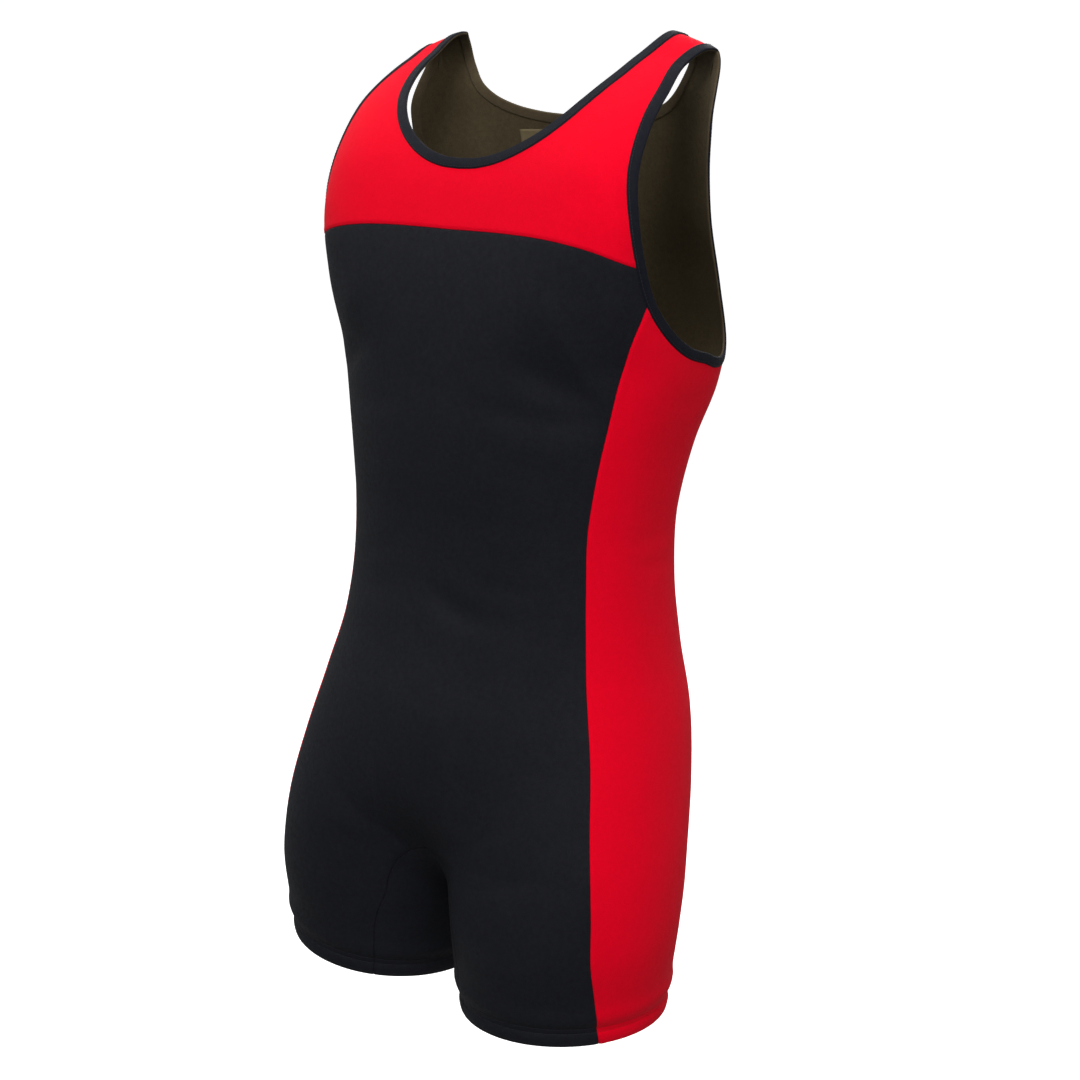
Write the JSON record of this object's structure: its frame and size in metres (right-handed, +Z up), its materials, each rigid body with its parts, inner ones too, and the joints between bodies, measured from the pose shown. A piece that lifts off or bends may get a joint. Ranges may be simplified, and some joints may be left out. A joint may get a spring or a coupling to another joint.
{
  "type": "powerlifting singlet",
  "caption": "Close-fitting sleeveless sports suit with short legs, filled out as worn, with a contrast front yoke and side panels and a bound neck and armholes.",
  "frame": {"origin": "on the middle plane, midway between the two shoulders and level with the underside of the strap tops, where the wearer's shoulders hold the garment", "axes": "+X towards the wearer's left side, -Y the way the front faces, +Z up the standing wearer"},
  "size_m": [0.4092, 0.2861, 0.8566],
  "materials": {
    "body_cloth": "smooth black stretch knit, slight satin sheen",
    "contrast_cloth": "smooth red stretch knit, slight satin sheen",
    "binding": "folded black stretch binding, matte",
    "label": "plain dark woven tape, bare"
  },
  "bodies": {
    "root": {"front_body": "body_cloth", "front_yoke": "contrast_cloth", "back": "body_cloth", "side_left": "contrast_cloth", "side_right": "contrast_cloth", "gusset": "body_cloth", "neck_binding": "binding", "armhole_binding_left": "binding", "armhole_binding_right": "binding", "neck_label": "label"}
  },
  "joints": []
}
